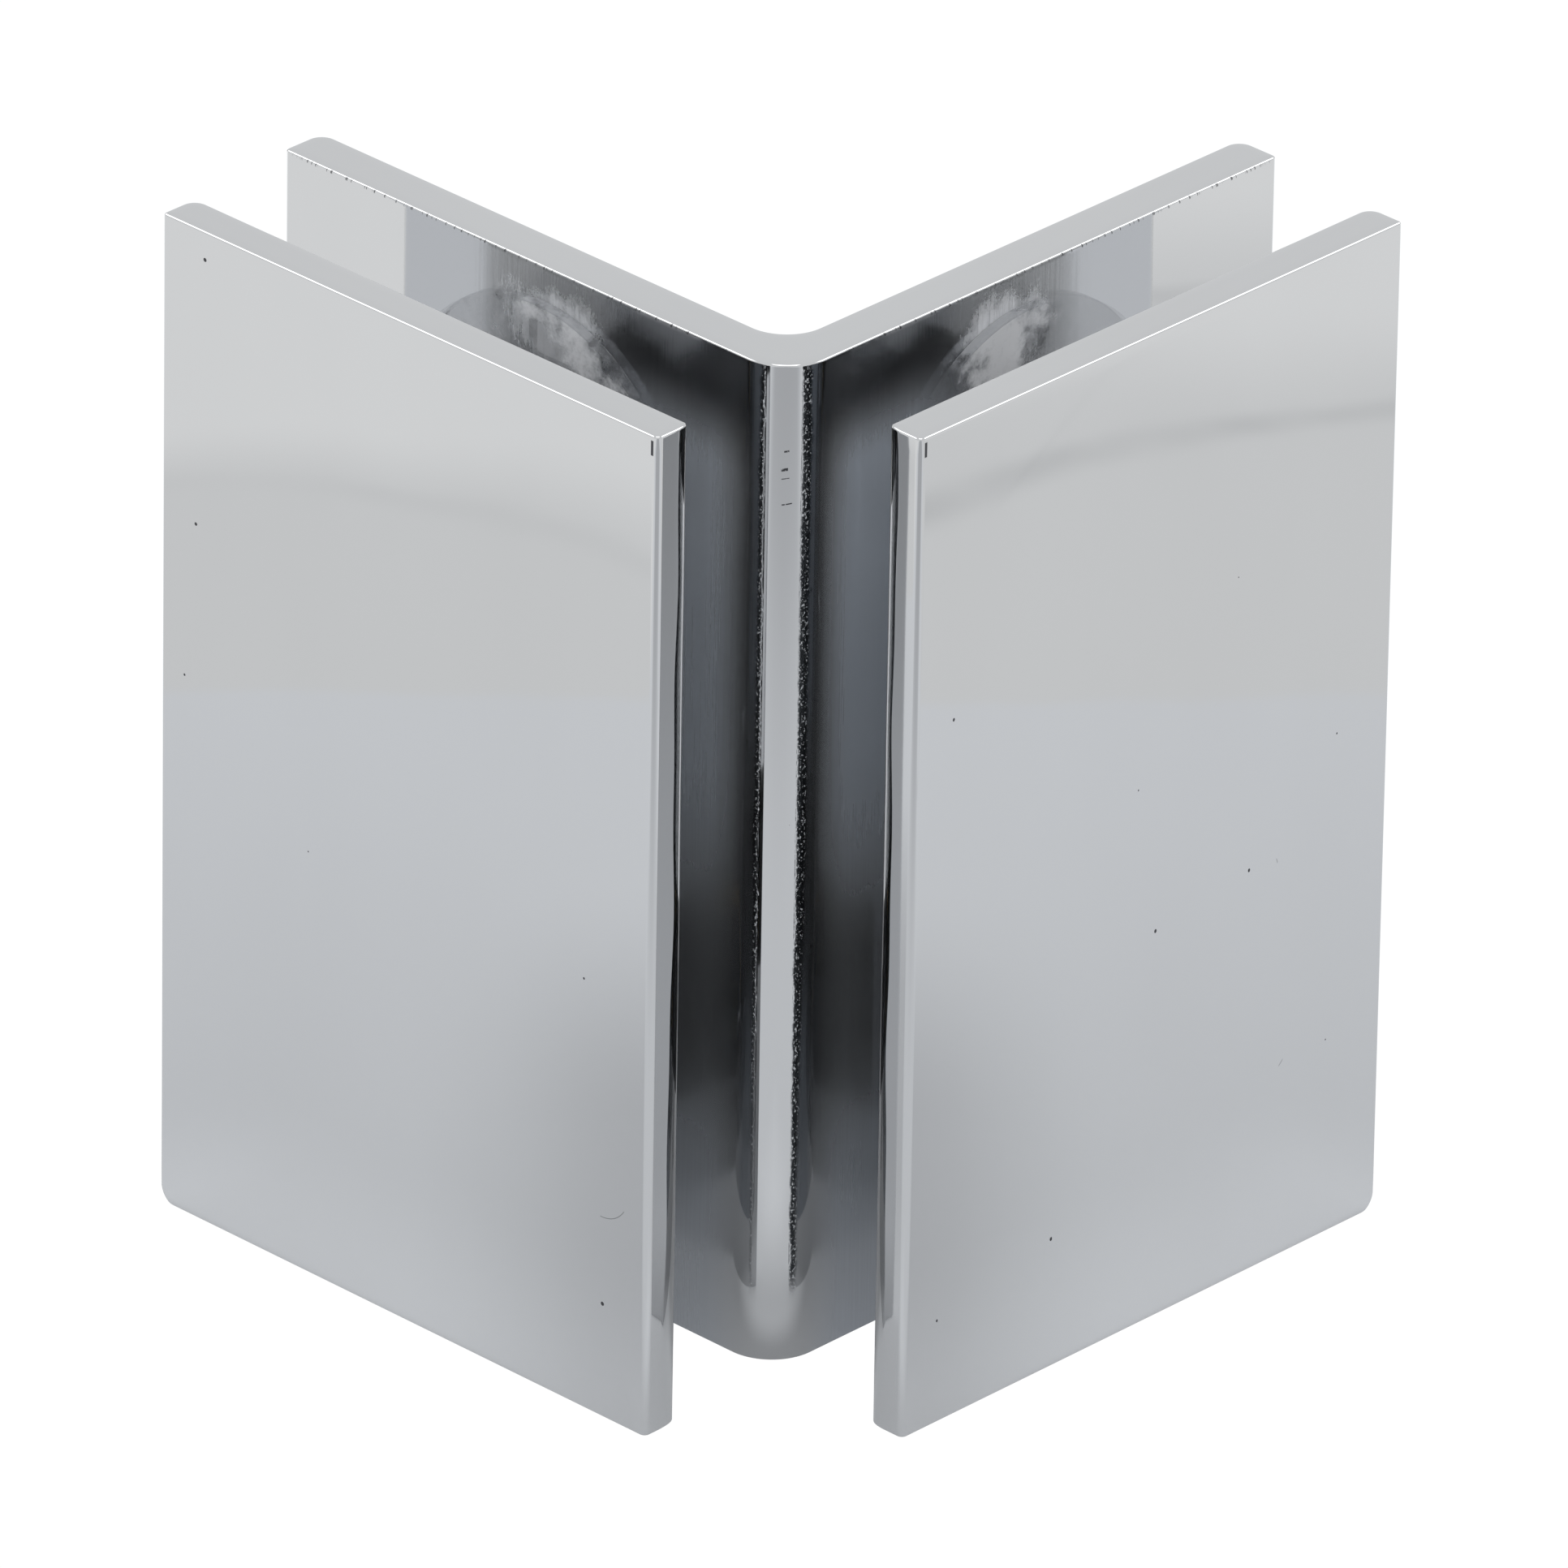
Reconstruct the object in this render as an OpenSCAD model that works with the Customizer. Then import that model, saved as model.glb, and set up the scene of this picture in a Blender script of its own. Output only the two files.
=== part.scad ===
// 90 degree glass-to-glass clamp for frameless panels.
// A one-piece corner bracket carries two flat outer plates, each pulled in by
// two countersunk screws, with gaskets and sleeves between metal and glass.
// Units: millimetres. +X and +Y run along the two wings, +Z is up.

/* [Corner bracket] */
// Height of the bracket and of both outer plates
height = 90; // [80:1:120]
// Length of one wing, from the outside of the corner to its far end
wing_len = 56.4; // [52:0.2:70]
// Thickness of the bracket
bracket_t = 4.2; // [4:0.1:6]
// Radius on the outside of the bend, facing the glass
corner_r = 4.5; // [1.5:0.1:6]
// Fillet on the inside of the bend
fillet_r = 3.7; // [1.5:0.1:8]
// Radius on the back edge of each wing's far end
wing_end_r = 1.4; // [0.6:0.1:1.8]

/* [Outer plates] */
// Width of an outer plate
plate_w = 55.5; // [50:0.5:66]
// Thickness of an outer plate
plate_t = 3.6; // [3.4:0.1:5]
// Where a plate's near end lies, measured along the wing from the corner
plate_start = -0.5; // [-1:0.1:2]
// Radius on the polished upright edge at a plate's near end
plate_near_r = 0.6; // [0.5:0.1:1.5]
// Radius on the back upright edge at a plate's far end
plate_far_r = 1.3; // [0.5:0.1:1.5]
// Broken edge along the top and bottom of a plate
edge_break = 0.3; // [0.1:0.05:0.6]

/* [Glass and gaskets] */
// Thickness of the glass the clamp is set for
glass_t = 9.5; // [8:0.5:12.7]
// Thickness of a gasket
gasket_t = 1.0; // [0.8:0.1:2]
// Width of a gasket
gasket_w = 30; // [24:1:36]
// Height of a gasket
gasket_h = 84; // [76:1:88]

/* [Screws, posts and sleeves] */
// Distance of the screws from the outside of the corner
screw_s = 27; // [24:0.5:32]
// Spacing of the two screws in one wing
screw_gap = 54; // [44:1:58]
// Outside diameter of the screw thread
thread_d = 6; // [5:1:6]
// Thread pitch
pitch = 1.0; // [0.8:0.1:1]
// Length of a screw, head included
screw_len = 16; // [16:1:18]
// Diameter of the countersunk head
head_d = 12; // [10:0.5:12]
// Across flats of the hexagon socket
hex_af = 4; // [3:0.5:4]
// Diameter of a threaded post
post_d = 12; // [11:0.5:13]
// Diameter of a sleeve
sleeve_d = 16; // [14.5:0.5:18]

/* [Hidden] */
$fn = 96;
eps = 0.01;
gap = glass_t + 2 * gasket_t;          // bracket face to plate back
back_y = -gap;                         // back of an outer plate
front_y = -gap - plate_t;              // polished face of an outer plate
head_y = bracket_t - 0.05;             // top of a screw head, just under flush
rim_h = 0.35;                          // straight rim of a screw head
post_len = gap - 1.6;                  // post, from the plate's back to its tip
spigot_d = 9;                          // part of a post that sits in the plate
spigot_h = 2.1;
bore_d = thread_d + 0.1;               // stands for the tapped hole in a post
sleeve_foot_d = sleeve_d - 1.2;        // part of a sleeve inside its gasket
gasket_hole_d = sleeve_d + 0.6;
shift = (wing_len + front_y) / 2;      // puts the origin under the middle
z_low = (height - screw_gap) / 2;
z_high = (height + screw_gap) / 2;
gasket_z0 = (height - gasket_h) / 2;

chrome = [0.78, 0.79, 0.80];
rubber = [0.50, 0.52, 0.54];
nylon = [0.12, 0.12, 0.13];
brass = [0.80, 0.66, 0.36];
steel = [0.62, 0.63, 0.65];

// ---- placing -------------------------------------------------------------

// The right wing is drawn along +X. The left wing is the same, mirrored.
module right_wing() translate([-shift, -shift, 0]) children();
module left_wing() translate([-shift, -shift, 0]) mirror([1, -1, 0]) children();

// A piece drawn along its own +Z, laid along +Y with z = 0 at y = at.
module along_y(at, z) translate([screw_s, at, z]) rotate([-90, 0, 0]) children();

// ---- profiles ------------------------------------------------------------

// What is taken off a square corner at the origin to leave radius r.
module round_off(r) difference() {
    translate([-1, -1]) square(r + 1);
    translate([r, r]) circle(r);
    translate([r, -2]) square([r + 2, r + 4]);
    translate([-2, r]) square([r + 4, r + 2]);
}

module broken_rect(w, h, c) polygon([
    [c, 0], [w - c, 0], [w, c], [w, h - c], [w - c, h], [c, h], [0, h - c], [0, c]
]);

module bracket_profile() difference() {
    union() {
        square([wing_len, bracket_t]);
        square([bracket_t, wing_len]);
        difference() {
            square(bracket_t + fillet_r);
            translate([bracket_t + fillet_r, bracket_t + fillet_r]) circle(fillet_r);
        }
    }
    round_off(corner_r);
    translate([wing_len, bracket_t]) rotate(180) round_off(wing_end_r);
    translate([bracket_t, wing_len]) rotate(180) round_off(wing_end_r);
    translate([wing_len, 0]) rotate(90) round_off(0.4);
    translate([0, wing_len]) rotate(-90) round_off(0.4);
}

module plate_profile() difference() {
    square([plate_w, plate_t]);
    round_off(plate_near_r);
    translate([plate_w, 0]) rotate(90) round_off(edge_break);
    translate([plate_w, plate_t]) rotate(180) round_off(plate_far_r);
    translate([0, plate_t]) rotate(-90) round_off(edge_break);
}

// ---- pieces, drawn for the right wing -------------------------------------

// Countersunk hole through the bracket: wide end at the back of the wing.
module screw_hole() {
    rim_r = head_d / 2 + 0.1;
    hole_r = thread_d / 2 + 0.3;
    depth = rim_h - 0.02;
    cone_h = rim_r - hole_r;
    translate([0, 0, -1]) cylinder(h = bracket_t + 2, r = hole_r);
    translate([0, 0, bracket_t - depth - cone_h]) cylinder(h = cone_h, r1 = hole_r, r2 = rim_r);
    translate([0, 0, bracket_t - depth]) cylinder(h = depth + 1, r = rim_r);
}

module bracket_blank() difference() {
    linear_extrude(height) bracket_profile();
    for (z = [z_low, z_high]) {
        along_y(0, z) screw_hole();
        mirror([1, -1, 0]) along_y(0, z) screw_hole();
    }
}

// Flat plate with its top and bottom edges broken and two blind seats at the back.
module outer_plate() translate([plate_start, front_y, 0]) difference() {
    intersection() {
        linear_extrude(height) plate_profile();
        translate([-1, 0, 0]) rotate([90, 0, 90]) linear_extrude(plate_w + 2)
            broken_rect(plate_t, height, edge_break);
        translate([0, plate_t + 1, 0]) rotate([90, 0, 0]) linear_extrude(plate_t + 2)
            broken_rect(plate_w, height, edge_break);
    }
    for (z = [z_low, z_high])
        translate([screw_s - plate_start, plate_t - spigot_h - 0.1, z]) rotate([-90, 0, 0])
            cylinder(h = spigot_h + 1, d = spigot_d + 2 * eps);
}

// Flat pad with round ends and two holes for the sleeves. Its face is at y = at.
module gasket(at) translate([screw_s, at, gasket_z0]) rotate([90, 0, 0])
    linear_extrude(gasket_t) difference() {
        union() {
            translate([-gasket_w / 2, gasket_w / 2]) square([gasket_w, gasket_h - gasket_w]);
            translate([0, gasket_w / 2]) circle(gasket_w / 2);
            translate([0, gasket_h - gasket_w / 2]) circle(gasket_w / 2);
        }
        translate([0, z_low - gasket_z0]) circle(gasket_hole_d / 2);
        translate([0, z_high - gasket_z0]) circle(gasket_hole_d / 2);
    }

// Tapped post: a spigot in the plate, a collar against its back, a chamfered tip.
module post(z) along_y(back_y, z) rotate_extrude() polygon([
    [bore_d / 2, -spigot_h], [spigot_d / 2 - 0.3, -spigot_h], [spigot_d / 2, -spigot_h + 0.3],
    [spigot_d / 2, 0], [post_d / 2, 0], [post_d / 2, post_len - 0.6],
    [post_d / 2 - 0.6, post_len], [bore_d / 2 + 0.5, post_len], [bore_d / 2, post_len - 0.5]
]);

// Soft sleeve round a post, so that the glass hole never touches metal.
module sleeve(z) along_y(back_y + 0.05, z) rotate_extrude() polygon([
    [post_d / 2 + 0.05, 0], [sleeve_foot_d / 2, 0], [sleeve_foot_d / 2, gasket_t - 0.05],
    [sleeve_d / 2, gasket_t - 0.05], [sleeve_d / 2, gap - 2.4],
    [sleeve_d / 2 - 0.4, gap - 2.0], [post_d / 2 + 0.45, gap - 2.0],
    [post_d / 2 + 0.05, gap - 2.4]
]);

// Countersunk socket screw, drawn with its head up and its tip at z = 0.
// The thread is a row of rings at the real pitch and diameters.
module screw_blank() {
    r = thread_d / 2;
    root = r - 0.6134 * pitch;
    cone_h = head_d / 2 - r;
    head_z = screw_len - rim_h - cone_h;
    turns = floor((head_z - 0.9) / pitch);
    ridges = [for (i = [0 : turns - 1]) each [
        [root, 0.6 + i * pitch],
        [r, 0.6 + (i + 0.4375) * pitch],
        [r, 0.6 + (i + 0.5625) * pitch]
    ]];
    difference() {
        rotate_extrude() polygon(concat(
            [[0, 0], [root - 0.4, 0], [root, 0.4]],
            ridges,
            [[root, 0.6 + turns * pitch], [root + 0.12, head_z - 0.1], [r, head_z],
             [head_d / 2, screw_len - rim_h], [head_d / 2, screw_len - 0.12],
             [head_d / 2 - 0.12, screw_len], [0, screw_len]]
        ));
        translate([0, 0, screw_len - 2.5])
            cylinder(h = 4, r = hex_af / 2 / cos(30), $fn = 6);
        translate([0, 0, screw_len - 3.1]) cylinder(h = 0.65, r1 = 0.2, r2 = hex_af / 2 - 0.05);
        translate([0, 0, screw_len - 0.35])
            cylinder(h = 0.4, r1 = hex_af / 2 - 0.05, r2 = hex_af / 2 + 0.35);
    }
}

module screw(z) along_y(head_y - screw_len, z) screw_blank();

// ---- named pieces ---------------------------------------------------------

module corner_bracket() color(chrome) right_wing() bracket_blank();

module left_outer_plate() color(chrome) left_wing() outer_plate();
module right_outer_plate() color(chrome) right_wing() outer_plate();

module left_inner_gasket() color(rubber) left_wing() gasket(0);
module right_inner_gasket() color(rubber) right_wing() gasket(0);
module left_outer_gasket() color(rubber) left_wing() gasket(back_y + gasket_t);
module right_outer_gasket() color(rubber) right_wing() gasket(back_y + gasket_t);

module left_upper_post() color(brass) left_wing() post(z_high);
module left_lower_post() color(brass) left_wing() post(z_low);
module right_upper_post() color(brass) right_wing() post(z_high);
module right_lower_post() color(brass) right_wing() post(z_low);

module left_upper_sleeve() color(nylon) left_wing() sleeve(z_high);
module left_lower_sleeve() color(nylon) left_wing() sleeve(z_low);
module right_upper_sleeve() color(nylon) right_wing() sleeve(z_high);
module right_lower_sleeve() color(nylon) right_wing() sleeve(z_low);

module left_upper_screw() color(steel) left_wing() screw(z_high);
module left_lower_screw() color(steel) left_wing() screw(z_low);
module right_upper_screw() color(steel) right_wing() screw(z_high);
module right_lower_screw() color(steel) right_wing() screw(z_low);

corner_bracket();
left_outer_plate();
right_outer_plate();
left_inner_gasket();
right_inner_gasket();
left_outer_gasket();
right_outer_gasket();
left_upper_post();
left_lower_post();
right_upper_post();
right_lower_post();
left_upper_sleeve();
left_lower_sleeve();
right_upper_sleeve();
right_lower_sleeve();
left_upper_screw();
left_lower_screw();
right_upper_screw();
right_lower_screw();
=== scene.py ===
"""A chrome 90 degree glass clamp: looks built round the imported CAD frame. Metres, row frame."""

import math

import bmesh
import bpy
from mathutils import Matrix, Vector


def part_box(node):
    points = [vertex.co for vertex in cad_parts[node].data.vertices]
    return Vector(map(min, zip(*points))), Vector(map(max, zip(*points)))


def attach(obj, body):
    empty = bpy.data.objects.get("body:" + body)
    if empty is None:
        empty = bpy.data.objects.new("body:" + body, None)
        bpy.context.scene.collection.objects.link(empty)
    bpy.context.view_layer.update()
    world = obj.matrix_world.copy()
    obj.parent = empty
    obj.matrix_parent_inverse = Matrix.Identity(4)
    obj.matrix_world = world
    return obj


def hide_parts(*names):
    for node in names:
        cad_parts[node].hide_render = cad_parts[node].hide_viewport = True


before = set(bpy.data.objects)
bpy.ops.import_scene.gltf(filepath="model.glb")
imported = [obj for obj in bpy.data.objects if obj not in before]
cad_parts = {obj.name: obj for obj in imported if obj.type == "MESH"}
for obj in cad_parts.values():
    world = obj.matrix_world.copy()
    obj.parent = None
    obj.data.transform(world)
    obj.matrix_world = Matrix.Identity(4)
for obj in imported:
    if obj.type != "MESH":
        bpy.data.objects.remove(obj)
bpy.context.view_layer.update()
MM = 0.001

# ---- the frame's own numbers -------------------------------------------------

bracket_lo, bracket_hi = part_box("corner_bracket")
CORNER = Vector((bracket_lo.x, bracket_lo.y, 0.0))  # outside of the bend, at the base
HEIGHT = bracket_hi.z
WING = bracket_hi.x - bracket_lo.x

# ---- sizes that the frame's boxes don't give ---------------------------------------

BRACKET_T = 4.2 * MM
BEND_R, FILLET_R = 4.5 * MM, 3.7 * MM  # outside and inside of the bend
BACK_END_R, FRONT_END_R = 1.4 * MM, 0.4 * MM
BRACKET_RIM_R, PLATE_RIM_R, GASKET_RIM_R = 0.22 * MM, 0.24 * MM, 0.22 * MM
SHOULDER, SHOULDER_DROP = 0.8 * MM, 0.04 * MM  # the soft shoulder of a polished rim
PLATE_FOOT_R = 1.7 * MM  # the worn lower corner at a plate's far end
PLATE_NEAR_R, PLATE_FAR_R, PLATE_EDGE_R = 0.6 * MM, 1.3 * MM, 0.3 * MM
PLATE_ROLL = (0.50 * MM, 1.30 * MM)  # soft back edge at a plate's near end: along the wing, through it
LEAST_R = 0.02 * MM  # what an inset leaves of a small radius
SCREW_HOLE_R, HEAD_CLEARANCE, HEAD_LAND = 3.3 * MM, 0.1 * MM, 0.33 * MM
THREAD_R, THREAD_PITCH, THREAD_DEPTH = 3.0 * MM, 1.0 * MM, 0.6134 * MM
HEX_FLAT = 2.0 * MM  # from the screw's axis to a flat of its socket
GASKET_HOLE_R = 8.3 * MM
SEAT_R, SEAT_GAP = 4.51 * MM, 0.1 * MM
POST_BORE_R, SPIGOT_R, SPIGOT_LONG = 3.05 * MM, 4.5 * MM, 2.1 * MM
SLEEVE_BORE_R, SLEEVE_STEP, SLEEVE_FOOT = 6.05 * MM, 0.6 * MM, 0.95 * MM
PAST = 1.0 * MM  # how far a cutting tool reaches past the faces it opens

# s runs along a wing from the corner, n points out towards the glass, z is up.
ALONG = {"right": Vector((1, 0, 0)), "left": Vector((0, 1, 0))}
OUT = {"right": Vector((0, -1, 0)), "left": Vector((-1, 0, 0))}


def wing_point(side, s, n, z):
    return CORNER + ALONG[side] * s + OUT[side] * n + Vector((0, 0, z))


def wing_box(node, side):
    """A node's box as (s, n, z) low and high."""
    lo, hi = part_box(node)
    s = sorted((c - CORNER).dot(ALONG[side]) for c in (lo, hi))
    n = sorted((c - CORNER).dot(OUT[side]) for c in (lo, hi))
    return (s[0], n[0], lo.z), (s[1], n[1], hi.z)


# ---- mesh helpers --------------------------------------------------------------


def arc(cx, cy, r, a0, a1, steps):
    return [
        (
            cx + r * math.cos(math.radians(a0 + (a1 - a0) * i / steps)),
            cy + r * math.sin(math.radians(a0 + (a1 - a0) * i / steps)),
        )
        for i in range(steps + 1)
    ]


def edge_rows(fillet, roll, roll_drop, steps=5):
    """(inset, drop) pairs from a flat cap to the side below it: a soft shoulder, then a fillet."""
    rows = []
    if roll > 0:
        for i in range(4):
            u = i / 4
            rows.append((fillet + roll * (1 - u), roll_drop * u * u))
    for i in range(steps + 1):
        a = math.radians(90 * i / steps)
        rows.append((fillet * (1 - math.sin(a)), roll_drop + fillet * (1 - math.cos(a))))
    return rows


def loft(rows, closed=False):
    """A bmesh skin over rows of points. A row of one point is a pole; a closed loft joins its ends."""
    bm = bmesh.new()
    made = [[bm.verts.new(p) for p in row] for row in rows]
    pairs = list(zip(made, made[1:])) + ([(made[-1], made[0])] if closed else [])
    for a, b in pairs:
        n = max(len(a), len(b))
        for i in range(n):
            j = (i + 1) % n
            if len(a) == 1:
                bm.faces.new((a[0], b[j], b[i]))
            elif len(b) == 1:
                bm.faces.new((a[i], a[j], b[0]))
            else:
                bm.faces.new((a[i], a[j], b[j], b[i]))
    if not closed:
        for row in (made[0], made[-1]):
            if len(row) > 2:
                bm.faces.new(row)
    return bm


def to_object(name, bm, sharp_deg=32):
    bmesh.ops.recalc_face_normals(bm, faces=bm.faces)
    for f in bm.faces:
        f.smooth = True
    for e in bm.edges:
        if len(e.link_faces) == 2 and e.calc_face_angle(0) > math.radians(sharp_deg):
            e.smooth = False
    mesh = bpy.data.meshes.new(name)
    bm.to_mesh(mesh)
    bm.free()
    ob = bpy.data.objects.new(name, mesh)
    bpy.context.scene.collection.objects.link(ob)
    return ob


def even_normals(ob):
    """Flat faces keep their own normal right up to a fillet, as on a real polished part."""
    m = ob.modifiers.new("even_normals", "WEIGHTED_NORMAL")
    m.mode, m.weight, m.keep_sharp = "FACE_AREA", 100, True


def cut(ob, cutters, sharp_deg=32):
    """Takes the cutters out of ob and keeps the result as plain mesh."""
    for c in cutters:
        m = ob.modifiers.new("cut", "BOOLEAN")
        m.operation, m.solver, m.object = "DIFFERENCE", "EXACT", c
    dg = bpy.context.evaluated_depsgraph_get()
    mesh = bpy.data.meshes.new_from_object(ob.evaluated_get(dg), depsgraph=dg)
    ob.modifiers.clear()
    ob.data = mesh
    bm = bmesh.new()
    bm.from_mesh(mesh)
    bmesh.ops.remove_doubles(bm, verts=bm.verts, dist=1e-7)
    for f in bm.faces:
        f.smooth = True
    for e in bm.edges:
        e.smooth = not (len(e.link_faces) == 2 and e.calc_face_angle(0) > math.radians(sharp_deg))
    bm.to_mesh(mesh)
    bm.free()
    for c in cutters:
        bpy.data.objects.remove(c)
    return ob


def extruded(name, profile, levels, place):
    """A prism with profile(inset, h) at each level (inset, h)."""
    return to_object(name, loft([[place(a, b, h) for a, b in profile(inset, h)] for inset, h in levels]))


def both_ends(edge, length, between=()):
    """The levels of a prism from 0 to length whose two rims are shaped by edge."""
    far_end = [(inset, length - drop) for inset, drop in reversed(edge)]
    return edge + [(0.0, h) for h in between] + far_end


def plug(name, r, depth, centre, axis, steps=72):
    """A round cutting tool from just before the centre to this depth past it."""
    return turned(name, [(0, -PAST), (r, -PAST), (r, depth), (0, depth)], centre, axis, steps, closed=False)


def turned(name, outline, centre, axis, steps=72, closed=True, radius_at=None, sharp_deg=32):
    """A lathe shape: outline is (radius, height along axis); a closed outline makes a ring."""
    axis = axis.normalized()
    u = Vector((0, 0, 1))
    v = axis.cross(u)
    rows = []
    for k, (r, h) in enumerate(outline):
        if r <= 0:
            rows.append([centre + axis * h])
            continue
        row = []
        for i in range(steps):
            a = 2 * math.pi * i / steps
            rr = radius_at(k, r, h, a) if radius_at else r
            row.append(centre + axis * h + (u * math.cos(a) + v * math.sin(a)) * rr)
        rows.append(row)
    ob = to_object(name, loft(rows, closed), sharp_deg)
    # how far each point is along and out from the axis, in mm: the turning marks follow it
    marks = ob.data.attributes.new("turning", "FLOAT", "POINT")
    for i, vert in enumerate(ob.data.vertices):
        d = vert.co - centre
        h = d.dot(axis)
        marks.data[i].value = (h + (d - axis * h).length) / MM
    return ob


# ---- materials -------------------------------------------------------------------


class Nodes:
    """Short calls for building a material. The limits of over, band and close are in mm."""

    def __init__(self, name):
        self.mat = bpy.data.materials.new(name)
        self.mat.use_nodes = True
        self.tree = self.mat.node_tree
        self.tree.nodes.clear()
        self.out = self.tree.nodes.new("ShaderNodeOutputMaterial")
        self.bsdf = self.tree.nodes.new("ShaderNodeBsdfPrincipled")
        self.link(self.bsdf.outputs[0], self.out.inputs[0])
        self.place = self.add("ShaderNodeTexCoord").outputs["Object"]

    def add(self, kind, **props):
        n = self.tree.nodes.new(kind)
        for k, v in props.items():
            setattr(n, k, v)
        return n

    def link(self, a, b):
        self.tree.links.new(a, b)

    def put(self, value, socket):
        if isinstance(value, bpy.types.NodeSocket):
            self.link(value, socket)
        else:
            socket.default_value = value

    # numbers

    def math(self, op, a, b=0.0, clamp=False):
        n = self.add("ShaderNodeMath", operation=op, use_clamp=clamp)
        self.put(a, n.inputs[0])
        self.put(b, n.inputs[1])
        return n.outputs[0]

    def times(self, first, *rest):
        for value in rest:
            first = self.math("MULTIPLY", first, value)
        return first

    def plus(self, first, *rest):
        for value in rest:
            first = self.math("ADD", first, value)
        return first

    def minus(self, a, b):
        return self.math("SUBTRACT", a, b)

    def most(self, first, *rest):
        for value in rest:
            first = self.math("MAXIMUM", first, value)
        return first

    def ramp(self, value, lo, hi, to_lo=0.0, to_hi=1.0):
        """A smooth step from to_lo to to_hi while value goes from lo to hi."""
        n = self.add("ShaderNodeMapRange", interpolation_type="SMOOTHSTEP")
        for i, v in enumerate((value, lo, hi, to_lo, to_hi)):
            self.put(v, n.inputs[i])
        return n.outputs[0]

    def over(self, value, lo, hi, to_lo=0.0, to_hi=1.0):
        """The same step, with lo and hi in mm."""
        return self.ramp(value, lo * MM, hi * MM, to_lo, to_hi)

    def band(self, value, rise, fall):
        """1 between two smooth steps, each (from, to) in mm, and 0 outside them."""
        return self.times(self.over(value, *rise), self.over(value, *fall, 1.0, 0.0))

    def close(self, value, centre, inner, outer):
        """1 within inner mm of the centre, falling to 0 at outer mm."""
        off = self.math("ABSOLUTE", self.minus(value, centre))
        return self.over(off, inner, outer, 1.0, 0.0)

    def distance(self, a, b):
        """The length of the flat vector (a, b)."""
        n = self.add("ShaderNodeVectorMath", operation="LENGTH")
        self.link(self.join(a, b, 0.0), n.inputs[0])
        return n.outputs["Value"]

    # vectors and patterns

    def split(self, vector=None):
        n = self.add("ShaderNodeSeparateXYZ")
        self.link(vector or self.place, n.inputs[0])
        return n.outputs

    def join(self, x, y, z):
        n = self.add("ShaderNodeCombineXYZ")
        for i, v in enumerate((x, y, z)):
            self.put(v, n.inputs[i])
        return n.outputs[0]

    def squeezed(self, up):
        """The place with its height scaled by up, so that a pattern comes out taller."""
        n = self.add("ShaderNodeVectorMath", operation="MULTIPLY")
        self.link(self.place, n.inputs[0])
        n.inputs[1].default_value = (1, 1, up)
        return n.outputs[0]

    def noise(self, vector, scale, detail=2.0, rough=0.5, dims="3D"):
        n = self.add("ShaderNodeTexNoise", noise_dimensions=dims)
        self.link(vector, n.inputs["W" if dims == "1D" else "Vector"])
        n.inputs["Scale"].default_value = scale
        n.inputs["Detail"].default_value = detail
        n.inputs["Roughness"].default_value = rough
        return n.outputs[0]

    def cells(self, flat, scale):
        n = self.add("ShaderNodeTexVoronoi", voronoi_dimensions="2D", feature="F1")
        self.link(flat, n.inputs["Vector"])
        n.inputs["Scale"].default_value = scale
        return n.outputs

    # surface

    def mix(self, factor, a, b):
        n = self.add("ShaderNodeMix", data_type="RGBA")
        self.put(factor, n.inputs[0])
        self.put(a, n.inputs[6])
        self.put(b, n.inputs[7])
        return n.outputs[2]

    def bump(self, height, strength, distance, normal=None):
        n = self.add("ShaderNodeBump")
        n.inputs["Strength"].default_value = strength
        n.inputs["Distance"].default_value = distance
        self.link(height, n.inputs["Height"])
        if normal is not None:
            self.link(normal, n.inputs["Normal"])
        return n.outputs[0]

    def surface(self, base, rough, normal):
        for socket, value in (("Base Color", base), ("Roughness", rough), ("Normal", normal)):
            self.link(value, self.bsdf.inputs[socket])


class Chrome(Nodes):
    """A chrome surface that marks, tints and roughness are added to."""

    def tint(self, amount, r, g, b):
        self.base = self.mix(amount, self.base, rgb(r, g, b))

    def roughen(self, amount, by):
        self.rough = self.plus(self.rough, self.times(amount, by))

    def mark(self, amount):
        self.marks = self.most(self.marks, amount)

    def from_corner(self):
        """Distance along the wing, and distance behind the front face."""
        x, y, _ = self.split()
        run = [self.minus(x, CORNER.x), self.minus(y, CORNER.y)]
        return self.most(*run), self.math("MINIMUM", *run)


def rgb(r, g, b):
    return (r, g, b, 1.0)


def strokes(m, flat, scale, share, length, width, seed):
    """Short curved hairs: one in a share of the cells, each turned its own way."""
    moved = m.add("ShaderNodeVectorMath", operation="ADD")
    m.link(flat, moved.inputs[0])
    moved.inputs[1].default_value = (seed, seed * 0.7, 0.0)
    cells = m.cells(moved.outputs[0], scale)
    chance, heading, reach = m.split(cells["Color"])
    local = m.add("ShaderNodeVectorMath", operation="SUBTRACT")
    m.link(moved.outputs[0], local.inputs[0])
    m.link(cells["Position"], local.inputs[1])
    turn = m.add("ShaderNodeVectorRotate", rotation_type="Z_AXIS")
    m.link(local.outputs[0], turn.inputs["Vector"])
    m.link(m.times(heading, 6.28), turn.inputs["Angle"])
    along, across, _ = m.split(turn.outputs[0])
    bend = m.times(along, along, 180.0)
    thin = m.ramp(m.math("ABSOLUTE", m.minus(across, bend)), width * 0.5, width, 1.0, 0.0)
    ends = m.math("LESS_THAN", m.math("ABSOLUTE", along), m.times(reach, length))
    return m.times(thin, ends, m.math("GREATER_THAN", chance, 1.0 - share))


def pits(m, flat, scale, share, size):
    """Small dark dots in a share of the cells."""
    cells = m.cells(flat, scale)
    chance = m.split(cells["Color"])[0]
    return m.math("LESS_THAN", cells["Distance"], m.ramp(chance, 1.0 - share, 1.0, 0.0, size * scale))


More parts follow.
